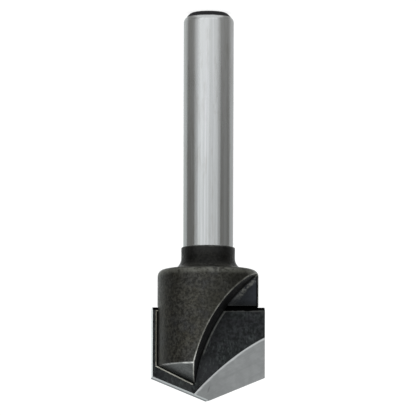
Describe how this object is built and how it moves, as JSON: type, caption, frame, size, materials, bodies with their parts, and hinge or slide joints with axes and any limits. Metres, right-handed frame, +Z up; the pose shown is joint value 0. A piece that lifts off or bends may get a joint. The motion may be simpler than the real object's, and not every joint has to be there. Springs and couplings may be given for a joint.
{
  "type": "v-groove router bit",
  "caption": "Straight-shank router bit: a round steel body with milled gullets backs a brazed carbide plate that is ground to a wide V point.",
  "frame": {"origin": "centre of the shank's flat end, on the surface that the tool stands on", "axes": "+Z up the tool's axis from the shank's end to the cutting point. The cutting plate lies in the XZ plane. The wing at -X has its cutting face towards -Y."},
  "size_m": [0.0144, 0.0126, 0.0492],
  "materials": {
    "tool_steel": "ground bright on the shank, dark heat-treated scale on collar and body",
    "carbide": "dark sintered face, ground bright along the cutting edges",
    "braze": "dull brazing metal"
  },
  "bodies": {
    "root": {"cutter_body": "tool_steel", "cutting_plate": "carbide", "braze_seam_front": "braze", "braze_seam_rear": "braze"}
  },
  "joints": []
}
